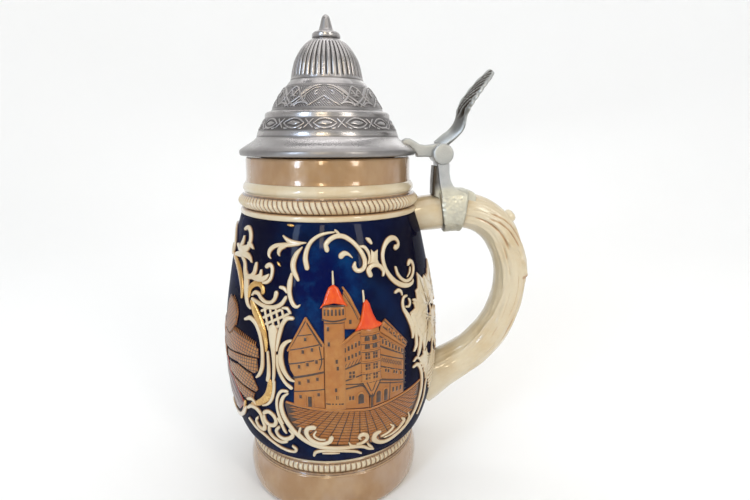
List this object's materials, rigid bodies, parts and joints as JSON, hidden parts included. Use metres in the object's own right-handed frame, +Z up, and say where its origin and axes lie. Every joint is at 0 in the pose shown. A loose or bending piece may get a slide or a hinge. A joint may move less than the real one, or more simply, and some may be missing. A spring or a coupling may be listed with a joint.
{
  "type": "lidded beer stein",
  "caption": "Half-litre stoneware beer stein with relief belly, branch handle and hinged pewter dome lid opened by a leaf-shaped thumb lift.",
  "frame": {"origin": "centre of the flat base that the stein stands on", "axes": "+Z up along the axis of the body and lid, +X from the axis towards the handle, hinge axis along Y"},
  "size_m": [0.1325, 0.0932, 0.1958],
  "materials": {
    "cobalt_glaze": "gloss",
    "ivory_glaze": "gloss",
    "caramel_glaze": "gloss",
    "lustre_glaze": "gloss",
    "orange_glaze": "gloss",
    "brown_stain": "gloss",
    "bare_stoneware": "matte",
    "gold_lustre": "gloss",
    "pewter_lid": "satin",
    "pewter_hinge": "satin",
    "pin_metal": "satin"
  },
  "bodies": {
    "mug": {"stoneware_body": "cobalt_glaze", "branch_handle": "ivory_glaze", "handle_band": "pewter_hinge", "hinge_shank": "pewter_hinge", "hinge_pin": "pin_metal", "pin_cap_front": "pewter_hinge", "pin_cap_rear": "pewter_hinge"},
    "lid": {"lid_shell": "pewter_lid", "lid_finial": "pewter_lid", "lid_arm": "pewter_hinge", "thumb_lift": "pewter_hinge"}
  },
  "joints": [
    {"name": "lid_hinge", "type": "hinge", "parent": "mug", "child": "lid", "pos_m": [0.0465, 0, 0.1425], "axis": [0, 1, 0], "range_deg": [0, 94]}
  ]
}
